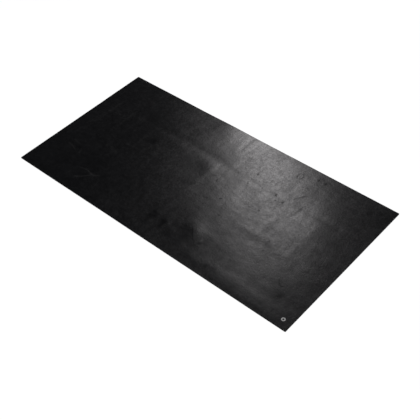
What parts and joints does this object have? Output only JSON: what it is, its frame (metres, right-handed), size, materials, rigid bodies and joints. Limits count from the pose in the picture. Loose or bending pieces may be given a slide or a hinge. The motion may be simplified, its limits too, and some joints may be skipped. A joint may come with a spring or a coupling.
{
  "type": "self healing mat",
  "caption": "Flat rectangular laminated mat that closes up after a cut, plain black, for cutting, punching and stitching leather on a bench, with a small printed mark in one corner.",
  "frame": {"origin": "centre of the underside, on the surface the mat lies on", "axes": "+X along the long side, +Y along the short side, +Z out of the working face; the printed mark is in the +X -Y corner"},
  "size_m": [1.2192, 0.6096, 0.003],
  "materials": {
    "top_skin": "satin",
    "healing_ply": "matte",
    "core_sheet": "matte",
    "base_skin": "matte",
    "corner_ink": "satin"
  },
  "bodies": {
    "root": {"top_skin": "top_skin", "upper_healing_ply": "healing_ply", "core_sheet": "core_sheet", "lower_healing_ply": "healing_ply", "base_skin": "base_skin", "corner_mark": "corner_ink"}
  },
  "joints": []
}
